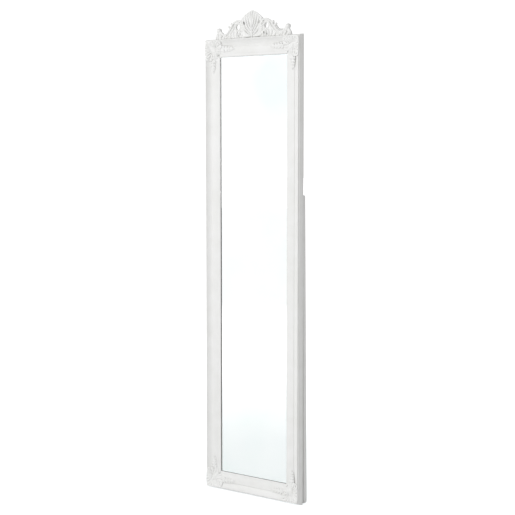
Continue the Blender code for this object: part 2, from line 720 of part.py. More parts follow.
def stay_mesh(side):
    """The stay bar about its rivet at the origin: it hangs down and ends in a short slot."""
    radius = STAY_WIDTH / 2
    run = STAY_PIN_DROP - STAY_PIVOT_DROP
    end = run + STAY_TRAVEL
    outline = [(radius * math.cos(a), radius * math.sin(a)) for a in half_turn(0)]
    outline += [(radius * math.cos(a), -end + radius * math.sin(a)) for a in half_turn(math.pi)]
    slot_radius = SLOT_WIDTH / 2
    slot = [(slot_radius * math.cos(a), -run + slot_radius * math.sin(a)) for a in half_turn(0)]
    slot += [(slot_radius * math.cos(a), -end + slot_radius * math.sin(a)) for a in half_turn(math.pi)]
    x0 = side * STAY_X - STAY_THICKNESS / 2
    x1 = side * STAY_X + STAY_THICKNESS / 2
    bar = loft("stay_bar", [[(x, y, z) for y, z in outline] for x in (x0, x1)])
    window = loft("stay_slot", [[(x, y, z) for y, z in slot] for x in (x0 - MM, x1 + MM)])
    bore = cylinder("rivet_bore", RIVET_BORE, (x0 - MM, 0, 0), (x1 + MM, 0, 0), "X", 24)
    return carved("stay_bar", bar, cuts=[window, bore])


def half_turn(start, steps=9):
    """Angles over half a turn."""
    return [start + math.pi * step / steps for step in range(steps + 1)]


def bracket_mesh(side):
    """The stay's bracket about the rivet: a foot strip on the frame and an ear for the rivet."""
    ear_face = STAY_X - STAY_THICKNESS / 2 - FIT
    foot_back = Y_BACK + FIT - (HINGE_Y + STAY_LINE)
    x0, x1 = sorted((side * (BRACKET_X - 3.1 * MM), side * ear_face))
    foot = box("foot", (x0, foot_back, -21 * MM), (x1, foot_back + EAR_THICKNESS, 21 * MM))
    e0, e1 = sorted((side * (ear_face - EAR_THICKNESS), side * ear_face))
    ear = box("ear", (e0, foot_back, -8 * MM), (e1, 5.5 * MM, 8 * MM))
    cuts = [cylinder("ear_bore", RIVET_BORE, (e0 - MM, 0, 0), (e1 + MM, 0, 0), "X", 24)]
    cuts += [pilot("foot_hole", side * BRACKET_X, dz, foot_back - MM, foot_back + 3 * MM, 1.5 * MM)
             for _, dz in BRACKET_SCREWS]
    return carved("bracket", rounded(foot, 0.3 * MM, 1), cuts=cuts, joins=[ear])


def rivet_mesh():
    """The rivet along Z, from the inner head through the ear and the bar to the outer head."""
    grip = EAR_THICKNESS + STAY_THICKNESS + 3 * FIT
    return turned("stay_rivet", [
        (0, grip + 0.8 * MM),
        (2.2 * MM, grip + 0.75 * MM),
        (3.4 * MM, grip + 0.3 * MM),
        (3.4 * MM, grip),
        (RIVET_RADIUS, grip),
        (RIVET_RADIUS, 0),
        (3.4 * MM, 0),
        (3.4 * MM, -0.4 * MM),
        (2.2 * MM, -0.9 * MM),
        (0, -1.0 * MM),
    ], segments=24)


def stay_pin_mesh():
    """The shoulder screw along Z, from its head through the bar's slot into the post."""
    slot = STAY_THICKNESS + 2 * FIT
    return turned("stay_pin", [
        (0, slot + 9 * MM),
        (0.6 * MM, slot + 9 * MM),
        (1.8 * MM, slot + 6.5 * MM),
        (1.8 * MM, slot + 1.0 * MM),
        (4.0 * MM, slot + 1.0 * MM),
        (4.0 * MM, slot),
        (STAY_PIN_RADIUS, slot),
        (STAY_PIN_RADIUS, 0),
        (4.5 * MM, 0),
        (4.5 * MM, -1.0 * MM),
        (3.4 * MM, -1.8 * MM),
        (0, -1.9 * MM),
    ], segments=20)


def build_stays(stand_axis):
    """Two slotted stays that stop the stand: bracket and rivet on the frame, pin on the post."""
    screw = cross_screw("bracket_screw", 2.5 * MM, 1.2 * MM, 1.2 * MM, 8.0 * MM)
    rivet, pin = rivet_mesh(), stay_pin_mesh()
    pivot_y, pivot_z = HINGE_Y + STAY_LINE, HINGE_Z - STAY_PIVOT_DROP
    inner_face = STAY_X - STAY_THICKNESS / 2
    for label, side in SIDES:
        outwards = Matrix.Rotation(side * math.pi / 2, 4, "Y")
        pivot = joint_axis(f"{label}_stay_axis", 0, pivot_y, pivot_z, STAY_REST)
        at_pivot = Matrix.Translation((0, pivot_y, pivot_z))
        place(f"{label}_stay_bar", stay_mesh(side), ZINC, pivot)
        place(f"{label}_stay_bracket", bracket_mesh(side), ZINC, None, at_pivot)
        head = side * (inner_face - 2 * FIT - EAR_THICKNESS)
        place(f"{label}_stay_rivet", rivet, ZINC, None,
              Matrix.Translation((head, pivot_y, pivot_z)) @ outwards)
        place(f"{label}_stay_pin", pin, ZINC, stand_axis, Matrix.Translation(
            (side * (inner_face - FIT), STAY_LINE, -STAY_PIN_DROP)) @ outwards)
        for level, dz in BRACKET_SCREWS:
            drive(f"{label}_bracket_screw_{level}", screw, side * BRACKET_X,
                  Y_BACK + 2 * FIT + EAR_THICKNESS, pivot_z + dz)


clear_scene()
PARTS = new_collection("easel_floor_mirror")
HELPERS = new_collection("helpers")
build_frame_moulding()
build_glazing()
build_corners()
build_crest()
STAND_AXIS = joint_axis("stand_axis", 0, HINGE_Y, HINGE_Z, REST_OPENING)
build_stand(STAND_AXIS)
build_hinges(STAND_AXIS)
build_stays(STAND_AXIS)
for leftover in list(HELPERS.objects):
    bpy.data.objects.remove(leftover, do_unlink=True)
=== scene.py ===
"""Looks of a free-standing easel-back floor mirror: white moulded frame, cast ornaments, plain stand."""
import math

import bpy
import numpy as np
from mathutils import Matrix, Vector


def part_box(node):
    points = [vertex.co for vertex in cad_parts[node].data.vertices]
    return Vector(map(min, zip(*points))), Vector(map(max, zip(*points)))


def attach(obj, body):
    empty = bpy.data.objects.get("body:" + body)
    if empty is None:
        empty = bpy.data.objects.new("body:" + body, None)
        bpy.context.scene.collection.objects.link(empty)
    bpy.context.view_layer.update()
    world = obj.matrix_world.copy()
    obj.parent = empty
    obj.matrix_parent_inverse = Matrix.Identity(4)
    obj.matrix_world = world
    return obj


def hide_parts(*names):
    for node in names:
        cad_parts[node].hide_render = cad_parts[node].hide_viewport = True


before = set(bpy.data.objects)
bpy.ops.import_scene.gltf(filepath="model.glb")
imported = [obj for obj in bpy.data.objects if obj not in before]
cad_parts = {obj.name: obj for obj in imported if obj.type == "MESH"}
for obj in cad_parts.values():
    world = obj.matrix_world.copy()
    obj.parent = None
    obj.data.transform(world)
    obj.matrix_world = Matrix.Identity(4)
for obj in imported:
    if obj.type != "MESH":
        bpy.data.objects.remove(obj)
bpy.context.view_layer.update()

MM = 0.001

# The frame's leading sizes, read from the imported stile. The arris is the moulding's front edge.
STILE_LOW, STILE_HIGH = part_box("left_stile")
FLARE = 6 * MM                      # how far the frame's outer side stands out beyond the arris
FRAME_DEPTH = 24 * MM               # from the arris to the frame's back
ARRIS_X = -STILE_LOW.x - FLARE
ARRIS_BOTTOM = FLARE
ARRIS_TOP = STILE_LOW.z + STILE_HIGH.z - FLARE
BACK_Y = STILE_HIGH.y
ARRIS_Y = BACK_Y - FRAME_DEPTH
MITRE_GAP = 0.12 * MM               # half of the hairline that shows at a glued mitre
MITRE_WASTE = 8                     # mm that each end of a moulding loses to the mitre saw
LIP_UNDERSIDE = 12.9                # mm behind the arris, where the paint ends and raw wood begins
LIP_INSET = 39.0                    # mm from the arris, past which the rabbets' faces lie
WELD_REACH = 0.01 * MM              # points nearer than this are one point

CREST_FACE = 10.5                   # mm behind the arris, the ground that the crest's carving rises from
CREST_REAR = 17.5                   # mm behind the arris, the crest's back above its foot
CREST_BACK_LEVEL = CREST_FACE - CREST_REAR              # mm, that back as a height over the ground
CREST_PLATE_LEVEL = CREST_FACE - FRAME_DEPTH / MM       # mm, the thicker foot's back likewise
CREST_CROWN = 4.5                   # mm that the crest bows forward at its middle
CREST_FOOT = 3.0                    # mm above the arris, where the foot is scribed into the rail's top
CREST_FOOT_CAST = CREST_FOOT - 1    # mm above the arris, where the foot ends before it is sawn level
CREST_SLOT_FLOOR = 1.2              # mm of resin left behind the crest's blind slots
CREST_WEAR, CORNER_WEAR = 6, 3      # smoothing passes that soften a casting as a worn mould does
CREST_BATTEN = (118, 27)            # mm, half length and top of the thicker foot that the plates hold

CARVING_VOXEL = 0.85 * MM
CORNER_VOXEL = 0.75 * MM
CUTTER_TOP, PIN_CUTTER_TOP = 20, 12                     # mm, well above the carving's highest leaf

CAMERA_PLACE = (2.7145, -3.3694, 1.1491)
CAMERA_TURN = (85.327, 0.0, 38.742)
CAMERA_LENS = 92.07
CAMERA_SENSOR = 36

# The studio: the room is brighter at the left front than at the right rear. Places are in metres.
KEY_PLACE, KEY_AIM = (-2.4, -4.4, 1.9), (0, 0, 0.85)
KEY_SIZE, KEY_POWER = 2.4, 64
BRIGHT_SIDE = (-0.38, -0.92, 0.0)
ROOM_DIM, ROOM_BRIGHT = 0.36, 0.88  # the room's light on the mirror, from its dim and its bright side
ROOM_SEEN, ROOM_IN_PANE = 1.12, 1.09                    # the room to the eye and through the pane
FLOOR_SIZE, FLOOR_DROP = 80, 0.001
FLOOR_FILL, FLOOR_SEEN, FLOOR_IN_PANE = 0.10, 1.0, 0.59
# Pale patches that give the pane its cold tints: a place or a way to look, a reach and a colour.
FLOOR_CLOUD = ((0.4, -0.2, 0.0), 2.9, "#cdd2d3")
WALL_CLOUD = ((-0.610, -0.790, 0.05), 0.05, "#eaf0f2")
CLOUD_CORE = 0.35                   # the share of a patch's reach that has its full colour


# ---------------------------------------------------------------- working with Blender's operators

def take(*pieces):
    """Select only these pieces, the first one active."""
    bpy.ops.object.select_all(action="DESELECT")
    for piece in pieces:
        piece.select_set(True)
    bpy.context.view_layer.objects.active = pieces[0]


def in_edit_mode(piece, *steps):
    """Run edit-mode steps with the whole mesh selected."""
    take(piece)
    bpy.ops.object.mode_set(mode="EDIT")
    for step in steps:
        bpy.ops.mesh.select_all(action="SELECT")
        step()
    bpy.ops.object.mode_set(mode="OBJECT")


def weld():
    """Join points that lie on one another."""
    bpy.ops.mesh.remove_doubles(threshold=WELD_REACH)


def face_outwards():
    """Turn every face's front to the outside."""
    bpy.ops.mesh.normals_make_consistent(inside=False)


def saw(place, direction):
    """Cut off all that lies beyond a plane and close the end."""
    return lambda: bpy.ops.mesh.bisect(
        plane_co=place, plane_no=direction, use_fill=True, clear_outer=True)


def apply_modifier(piece, kind, **settings):
    """Add a modifier with these settings and apply it."""
    take(piece)
    bpy.ops.object.modifier_add(type=kind)
    modifier = piece.modifiers[-1]
    for name, value in settings.items():
        setattr(modifier, name, value)
    bpy.ops.object.modifier_apply(modifier=modifier.name)


def smooth_by_angle(piece, degrees):
    """Shade the piece smooth, with edges past the angle left sharp."""
    take(piece)
    bpy.ops.object.shade_smooth_by_angle(angle=math.radians(degrees))


# ---------------------------------------------------------------- drawing outlines and carved strokes

def bow(start, end, rise, steps):
    """Points from start to just before end along an arc; a positive rise bulges left of the way."""
    start, end = Vector(start), Vector(end)
    if abs(rise) < 0.001:
        return [tuple(start.lerp(end, step / steps)) for step in range(steps)]
    chord = (end - start).length
    radius = (chord / 2) ** 2 / (2 * abs(rise)) + abs(rise) / 2
    half = math.asin(min(1.0, chord / (2 * radius)))
    along = (end - start).normalized()
    aside = Vector((-along.y, along.x)) * math.copysign(1, rise)
    middle = (start + end) / 2
    points = []
    for step in range(steps):
        angle = half * (2 * step / steps - 1)
        points.append(tuple(
            middle + along * radius * math.sin(angle)
            + aside * radius * (math.cos(angle) - math.cos(half))))
    return points


def volute(centre, inner, outer, start, turns, steps):
    """A spiral that opens from the inner to the outer radius; a negative number of turns is clockwise."""
    points = []
    for step in range(steps + 1):
        share = step / steps
        angle = math.radians(start) + 2 * math.pi * turns * share
        reach = inner + (outer - inner) * share
        points.append((centre[0] + reach * math.cos(angle), centre[1] + reach * math.sin(angle)))
    return points


def oval(cx, cy, rx, ry, lean, steps):
    """An oval of points, leaning by an angle in radians."""
    points = []
    for step in range(steps):
        angle = 2 * math.pi * step / steps
        x, y = rx * math.cos(angle), ry * math.sin(angle)
        points.append((cx + x * math.cos(lean) - y * math.sin(lean),
                       cy + x * math.sin(lean) + y * math.cos(lean)))
    return points


def slab(name, rings, low, high):
    """A flat board with the given outline, and any holes after it, between two heights. In mm."""
    curve = bpy.data.curves.new(name, "CURVE")
    curve.dimensions = "2D"
    curve.fill_mode = "BOTH"
    curve.extrude = (high - low) / 2 * MM
    for ring in rings:
        spline = curve.splines.new("POLY")
        spline.points.add(len(ring) - 1)
        for point, (x, y) in zip(spline.points, ring):
            point.co = (x * MM, y * MM, 0, 1)
        spline.use_cyclic_u = True
    board = bpy.data.objects.new(name, curve)
    bpy.context.scene.collection.objects.link(board)
    take(board)
    bpy.ops.object.convert(target="MESH")
    board.data.transform(Matrix.Translation((0, 0, (low + high) / 2 * MM)))
    in_edit_mode(board, weld, face_outwards)
    return board


def stroke(points, fat, lift=0.0, root=0.4, tip=0.35, peak=0.6, rear=None):
    """A gouge-cut rib along flat points: thin at its root, fattest at the peak, round at its tip."""
    line = []
    last = len(points) - 1
    for index, (x, y) in enumerate(points):
        share = index / last
        if share < peak:
            width = root + (1 - root) * math.sin(math.pi / 2 * share / peak)
        else:
            width = tip + (1 - tip) * math.cos(math.pi / 2 * (share - peak) / (1 - peak))
        height = lift if rear is None else lift + (rear - lift) * (1 - share)
        line.append((x, y, height, fat * width))
    return domed(line)


def pad(points, widths, heights):
    """A low rounded leaf along flat points; half widths and heights at its root, middle and tip."""
    line = []
    last = len(points) - 1
    for index, (x, y) in enumerate(points):
        share = index / last
        width, height = (
            root * (1 - share) * (1 - 2 * share) + 4 * middle * share * (1 - share)
            + tip * share * (2 * share - 1) for root, middle, tip in (widths, heights))
        radius = (width ** 2 + height ** 2) / (2 * height)
        line.append((x, y, height - radius, radius))
    return domed(line)


def domed(line):
    """The line with its two ends rounded off."""
    def dome(end, beside):
        x, y, z, radius = end
        away = Vector((x - beside[0], y - beside[1])).normalized() * radius
        return [(x + away.x * reach, y + away.y * reach, z, radius * share)
                for reach, share in ((0.5, 0.87), (0.8, 0.6), (0.97, 0.24))]
    return dome(line[0], line[1])[::-1] + line + dome(line[-1], line[-2])


def strokes(name, lines):
    """All the strokes as one mesh of tapered round bars. In mm."""
    curve = bpy.data.curves.new(name, "CURVE")
    curve.dimensions = "3D"
    curve.bevel_depth = MM
    curve.bevel_resolution = 5
    curve.use_fill_caps = True
    for line in lines:
        spline = curve.splines.new("POLY")
        spline.points.add(len(line) - 1)
        for point, (x, y, z, radius) in zip(spline.points, line):
            point.co = (x * MM, y * MM, z * MM, 1)
            point.radius = radius
    bars = bpy.data.objects.new(name, curve)
    bpy.context.scene.collection.objects.link(bars)
    take(bars)
    bpy.ops.object.convert(target="MESH")
    in_edit_mode(bars, weld, face_outwards)
    return bars


def mirrored(lines):
    """Strokes given on the right, with their twins on the left."""
    return lines + [[(-x, y, z, radius) for x, y, z, radius in line] for line in lines]


def cast(ground, ribs, voxel, passes):
    """Ground and ribs fused into one casting with the soft edges of a worn mould."""
    take(ground, ribs)
    bpy.ops.object.join()
    apply_modifier(ground, "REMESH", mode="VOXEL", voxel_size=voxel, adaptivity=0.0)
    apply_modifier(ground, "SMOOTH", factor=0.5, iterations=passes)
    in_edit_mode(ground, face_outwards)
    take(ground)
    bpy.ops.object.shade_smooth()
    return ground


def move_points(piece, moved):
    """Pass all of a mesh's points through a function of their places."""
    points = np.zeros(len(piece.data.vertices) * 3)
    piece.data.vertices.foreach_get("co", points)
    piece.data.vertices.foreach_set("co", moved(points.reshape(-1, 3)).ravel())
    piece.data.update()


def pierce(casting, rings, low, high):
    """Cut straight holes with these outlines into a flat casting, between two heights in mm."""
    cutter = slab("cutter", rings, low, high)
    apply_modifier(casting, "BOOLEAN", operation="DIFFERENCE", object=cutter)
    bpy.data.objects.remove(cutter)


# ---------------------------------------------------------------- materials

def linear(hex_colour):
    """A hex sRGB colour as linear red, green, blue and alpha."""
    parts = [int(hex_colour[i:i + 2], 16) / 255 for i in (1, 3, 5)]
    return (*[c / 12.92 if c <= 0.04045 else ((c + 0.055) / 1.055) ** 2.4 for c in parts], 1.0)


def add(tree, kind, inputs=None, **settings):
    """A node with its settings and its inputs, each a value or a socket to link from."""
    node = tree.nodes.new(kind)
    for name, value in settings.items():
        setattr(node, name, value)
    for key, value in (inputs or {}).items():
        if isinstance(value, bpy.types.NodeSocket):
            tree.links.new(value, node.inputs[key])
        else:
            node.inputs[key].default_value = value
    return node


def blank_finish(name, **values):
    """A material with one Principled shader; each value is set straight on its socket."""
    made = bpy.data.materials.new(name)
    made.use_nodes = True
    shader = made.node_tree.nodes["Principled BSDF"]
    for key, value in values.items():
        shader.inputs[key.replace("_", " ")].default_value = value
    return made, made.node_tree, shader


def noise(tree, grain, detail=3.0, stretch=(1, 1, 1), roughness=0.55):
    """Noise whose blotches are about grain millimetres across, stretched along an axis if need be."""
    place = add(tree, "ShaderNodeTexCoord").outputs["Object"]
    scale = 1 / (grain * MM)
    mapped = add(tree, "ShaderNodeMapping", {"Vector": place, "Scale": [scale / s for s in stretch]})
    texture = add(tree, "ShaderNodeTexNoise", {
        "Vector": mapped.outputs[0], "Scale": 1.0, "Detail": detail, "Roughness": roughness})
    return texture.outputs["Fac"]


def ramp(tree, factor, low, high, colour_low, colour_high):
    """Two colours between two values of the factor."""
    node = add(tree, "ShaderNodeValToRGB", {"Fac": factor})
    node.color_ramp.elements[0].position = low
    node.color_ramp.elements[1].position = high
    node.color_ramp.elements[0].color = linear(colour_low)
    node.color_ramp.elements[1].color = linear(colour_high)
    return node.outputs["Color"]


def spread(tree, factor, low, high, from_low=0.3, from_high=0.7):
    """The factor remapped to lie between low and high."""
    node = add(tree, "ShaderNodeMapRange", {
        "Value": factor, "From Min": from_low, "From Max": from_high, "To Min": low, "To Max": high})
    return node.outputs["Result"]


def mix(tree, factor, first, second, blend="MIX"):
    """Two colours blended by the factor, each a colour or a socket."""
    node = add(tree, "ShaderNodeMix", data_type="RGBA", blend_type=blend)
    for key, value in ((0, factor), (6, first), (7, second)):
        if isinstance(value, bpy.types.NodeSocket):
            tree.links.new(value, node.inputs[key])
        else:
            node.inputs[key].default_value = value
    return node.outputs[2]


def relief(tree, height, distance, strength, under=None):
    """A bump of that real height in millimetres, laid over another one if given."""
    inputs = {"Height": height, "Distance": distance * MM, "Strength": strength}
    if under is not None:
        inputs["Normal"] = under
    return add(tree, "ShaderNodeBump", inputs).outputs["Normal"]


def hollows(tree, reach):
    """A mask for painted shade: 1 on open surfaces, falling to 0 in crevices narrower than the reach in
    millimetres.
    """
    node = add(tree, "ShaderNodeAmbientOcclusion", {"Distance": reach * MM}, samples=8)
    return node.outputs["AO"]


def satin_lacquer_on_wood(name, stretch):
    """White satin nitro lacquer sprayed on planed pine.

    It gives the eye a soft even white with a faint orange peel, the grain just telling through it
    along the length. Its colour also holds painted shade: it turns grey in hollows and crevices,
    where ambient occlusion finds them, standing in for the shade that falls there.
    """
    made, tree, shader = blank_finish(name, Coat_Weight=0.06, Coat_Roughness=0.32, IOR=1.46)
    cloud = ramp(tree, noise(tree, 60), 0.35, 0.65, "#f1f1ef", "#f6f6f5")
    grain = noise(tree, 1.6, 4.0, stretch)
    figured = mix(tree, spread(tree, grain, 0.0, 0.05), cloud, linear("#dedcd8"))
    # Painted shade: the colour is greyed in hollows narrower than 5 mm, where shade falls.
    painted_hollow_shade = ramp(tree, hollows(tree, 5), 0.25, 0.8, "#cfcecb", "#ffffff")
    tree.links.new(mix(tree, 0.55, figured, painted_hollow_shade, "MULTIPLY"), shader.inputs["Base Color"])
    tree.links.new(spread(tree, noise(tree, 9), 0.36, 0.50), shader.inputs["Roughness"])
    # Orange peel is about 0.7 mm across; it is drawn at 1.4 mm so that it shows at arm's length.
    peel = relief(tree, noise(tree, 1.4, 2.0), 0.05, 0.5)
    tree.links.new(relief(tree, grain, 0.08, 0.55, peel), shader.inputs["Normal"])
    return made


def lacquered_cast_resin():
    """The same white lacquer over cast polyurethane resin.

    It gives the eye a slightly tighter gloss on the raised ribs and fine casting pits. Its colour
    also holds strong painted shade: it turns mid grey in hollows, slots and crevices, where
    ambient occlusion finds them, standing in for the shade that falls there.
    """
    made, tree, shader = blank_finish("lacquered_cast_resin", Coat_Weight=0.10, Coat_Roughness=0.28,
                                      IOR=1.48)
    cloud = ramp(tree, noise(tree, 25), 0.35, 0.65, "#f1f1ef", "#f7f7f6")
    # Painted shade: the colour is greyed to mid grey in hollows narrower than 5 mm, where shade falls.
    painted_hollow_shade = ramp(tree, hollows(tree, 5), 0.15, 0.8, "#8d8c89", "#ffffff")
    tree.links.new(mix(tree, 0.85, cloud, painted_hollow_shade, "MULTIPLY"), shader.inputs["Base Color"])
    tree.links.new(spread(tree, noise(tree, 6), 0.33, 0.46), shader.inputs["Roughness"])
    pits = spread(tree, noise(tree, 1.1, 3.0), 0.0, 1.0, 0.28, 0.40)
    skin = relief(tree, noise(tree, 2.2, 2.0), 0.08, 0.5)
    tree.links.new(relief(tree, pits, 0.06, 0.5, skin), shader.inputs["Normal"])
    return made


def raw_pine_darkened_as_shade():
    """Pine as it left the moulder, in the rabbet where no lacquer goes.

    It gives the eye a dull grey-brown with overspray, seen only as a dark line beside the glass.
    The rabbet is raw wood, but this grey-brown is far darker than raw pine: it is partly painted
    shade, set dark so that the shaded line beside the glass reads dark.
    """
    made, tree, shader = blank_finish("raw_pine_darkened_as_shade", Roughness=0.85)
    fibre = noise(tree, 0.9, 4.0, (1, 1, 14))
    tree.links.new(ramp(tree, fibre, 0.3, 0.7, "#7b7369", "#9c948a"), shader.inputs["Base Color"])
    tree.links.new(relief(tree, fibre, 0.15, 0.6), shader.inputs["Normal"])
    return made


def clear_float_glass():
    """A 3 mm float pane, clear with the faint green of its iron, under a breath of dust film."""
    made, tree, shader = blank_finish("clear_float_glass", Transmission_Weight=1.0, IOR=1.5)
    tint = ramp(tree, noise(tree, 180), 0.3, 0.7, "#fbfdfc", "#ffffff")
    tree.links.new(tint, shader.inputs["Base Color"])
    tree.links.new(spread(tree, noise(tree, 35), 0.0, 0.012), shader.inputs["Roughness"])
    return made


def silvered_back():
    """Wet-laid silver behind the pane: a near perfect mirror with the slightest cold cast."""
    made, tree, shader = blank_finish("silvered_back", Metallic=1.0)
    cast_of = ramp(tree, noise(tree, 120), 0.3, 0.7, "#f8fafb", "#fcfdfd")
    tree.links.new(cast_of, shader.inputs["Base Color"])
    tree.links.new(spread(tree, noise(tree, 50), 0.0, 0.012), shader.inputs["Roughness"])
    return made


def screen_pressed_hardboard():
    """Wet-process hardboard, its rough side out: brown fibre with the mark of the wire screen."""
    made, tree, shader = blank_finish("screen_pressed_hardboard", Roughness=0.82)
    fibre = noise(tree, 3.0, 6.0)
    brown = ramp(tree, fibre, 0.32, 0.68, "#6d4c31", "#93704d")
    flecks = spread(tree, noise(tree, 1.3, 3.0), 0.0, 0.45, 0.56, 0.68)
    tree.links.new(mix(tree, flecks, brown, linear("#4b3220")), shader.inputs["Base Color"])
    tree.links.new(spread(tree, fibre, 0.74, 0.9), shader.inputs["Roughness"])
    place = add(tree, "ShaderNodeTexCoord").outputs["Object"]
    # The screen's wires are 1.2 mm apart; they are drawn 2.4 mm apart so that they show.
    wires = [add(tree, "ShaderNodeTexWave", {"Vector": place, "Scale": math.pi * 2 / (2.4 * MM) / 20},
                 bands_direction=way).outputs["Fac"] for way in ("X", "Z")]
    woven = add(tree, "ShaderNodeMath", {0: wires[0], 1: wires[1]}, operation="MULTIPLY")
    screen = relief(tree, woven.outputs[0], 0.25, 0.6)
    tree.links.new(relief(tree, fibre, 0.2, 0.5, screen), shader.inputs["Normal"])
    return made


def bright_zinc_plate():
    """Stamped steel with bright zinc plating: cool grey, fine rolling lines, cloudy passivation."""
    made, tree, shader = blank_finish("bright_zinc_plate", Metallic=1.0)
    cloud = ramp(tree, noise(tree, 7, 4.0), 0.3, 0.7, "#a7abaf", "#c9ccd0")
    tree.links.new(cloud, shader.inputs["Base Color"])
    lines = noise(tree, 0.5, 3.0, (1, 1, 24))
    tree.links.new(spread(tree, lines, 0.27, 0.44), shader.inputs["Roughness"])
    tree.links.new(relief(tree, lines, 0.02, 0.5), shader.inputs["Normal"])
    return made


def pressed_wool_felt():
    """Off-white pressed felt: matt, with loose fibres that catch the light at its edge."""
    made, tree, shader = blank_finish("pressed_wool_felt", Sheen_Weight=0.35, Sheen_Roughness=0.5,
                                      Roughness=0.95)
    fibre = noise(tree, 0.7, 6.0, (3, 1, 1))
    tree.links.new(ramp(tree, fibre, 0.3, 0.7, "#d5d2cb", "#efedea"), shader.inputs["Base Color"])
    tree.links.new(relief(tree, fibre, 0.3, 0.8), shader.inputs["Normal"])
    return made


UPRIGHT_LACQUER = satin_lacquer_on_wood("satin_lacquer_on_upright_wood", (1, 1, 26))
LEVEL_LACQUER = satin_lacquer_on_wood("satin_lacquer_on_level_wood", (26, 1, 1))
RESIN_LACQUER = lacquered_cast_resin()
RAW_PINE_DARKENED_AS_SHADE = raw_pine_darkened_as_shade()
FLOAT_GLASS = clear_float_glass()
SILVER = silvered_back()
HARDBOARD = screen_pressed_hardboard()
ZINC = bright_zinc_plate()
FELT = pressed_wool_felt()


# ---------------------------------------------------------------- mouldings

def moulding_section():
    """The section as (inset from the arris, depth behind it) in mm.

    It runs from the back along the outer side to the bead and the arris, through the cove to the
    panel and the sight lip, and back by the two rabbets.
    """
    return [
        *bow((-3.8, FRAME_DEPTH / MM), (-6, 17), -0.7, 8),
        *bow((-6, 17), (-3.6, 8.2), -0.5, 8),
        *bow((-3.6, 8.2), (-3.2, 7.0), 0.2, 3),
        *bow((-3.2, 7.0), (-1.0, 2.9), -1.3, 10),
        (0.4, 2.9),
        *bow((-0.3, 1.6), (1.0, 0.0), -0.4, 6),
        *bow((1.0, 0.0), (19.6, 9.5), 1.4, 18),
        *bow((19.6, 9.5), (21.4, 9.0), 0.25, 4),
        *bow((21.4, 9.0), (25.2, 8.0), -0.7, 8),
        *bow((25.2, 8.0), (48.0, 10.9), -0.5, 14),
        *bow((48.0, 10.9), (55.0, 12.7), -1.0, 9),
        (55.0, 13.0),
        (47.0, 13.0),
        (47.0, 17.2),
        (40.0, 17.2),
        (40.0, FRAME_DEPTH / MM),
    ]


def moulding(name, node, length, turn, centre, lacquer):
    """A length of moulding with both ends mitred, turned about Y and set in its place."""
    half = length / 2 / MM
    piece = slab(name, [moulding_section()], -half - MITRE_WASTE, half + MITRE_WASTE)
    for end in (-1, 1):
        in_edit_mode(piece, saw((0, 0, end * (half * MM - MITRE_GAP)), (1, 0, end)))
    piece.data.materials.append(lacquer)
    piece.data.materials.append(RAW_PINE_DARKENED_AS_SHADE)
    # The rabbet's faces take the raw wood, whose dark colour is partly painted shade.
    for face in piece.data.polygons:
        inset, depth = face.center.x / MM, face.center.y / MM
        upright = abs(face.normal.z) < 0.1
        if upright and inset > LIP_INSET and depth > LIP_UNDERSIDE:
            face.material_index = 1
    piece.data.transform(Matrix.Translation(centre) @ Matrix.Rotation(math.radians(turn), 4, "Y"))
    in_edit_mode(piece, face_outwards)
    smooth_by_angle(piece, 24)
    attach(piece, "frame")
    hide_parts(node)


def build_mouldings():
    """The four mouldings round the pane, mitred at the corners."""
    high = ARRIS_TOP - ARRIS_BOTTOM
    middle = (ARRIS_TOP + ARRIS_BOTTOM) / 2
    wide = 2 * ARRIS_X
    for name, node, length, turn, x, z, lacquer in (
        ("left_stile_moulding", "left_stile", high, 0, -ARRIS_X, middle, UPRIGHT_LACQUER),
        ("right_stile_moulding", "right_stile", high, 180, ARRIS_X, middle, UPRIGHT_LACQUER),
        ("top_rail_moulding", "top_rail", wide, 90, 0, ARRIS_TOP, LEVEL_LACQUER),
        ("bottom_rail_moulding", "bottom_rail", wide, -90, 0, ARRIS_BOTTOM, LEVEL_LACQUER),
    ):
        moulding(name, node, length, turn, (x, ARRIS_Y, z), lacquer)


# ---------------------------------------------------------------- crest

def crest_outline():
    """The crest's ground, from the top of the shell round both scrolls and finials, in mm."""
    right = [
        *bow((0, 90), (43.5, 63.5), 3.0, 10),
        *bow((43.5, 63.5), (44, 57), 0.4, 3),
        *bow((44, 57), (69, 56), 4.4, 9),
        *bow((69, 56), (82, 49), 0.9, 4),
        *bow((82, 49), (92, 42), 1.0, 4),
        *bow((92, 42), (103, 31), 1.0, 4),
        *bow((103, 31), (125, 19), -2.0, 6),
        *bow((125, 19), (135, 29), 2.0, 6),
        *bow((135, 29), (149, 24), 3.0, 7),
        *bow((149, 24), (158, CREST_FOOT_CAST), 2.4, 6),
        (158, CREST_FOOT_CAST),
    ]
    return right + [(-x, h) for x, h in reversed(right[1:])]


SCROLL_EYE = (59, 39.5)             # mm right of the middle and above the arris


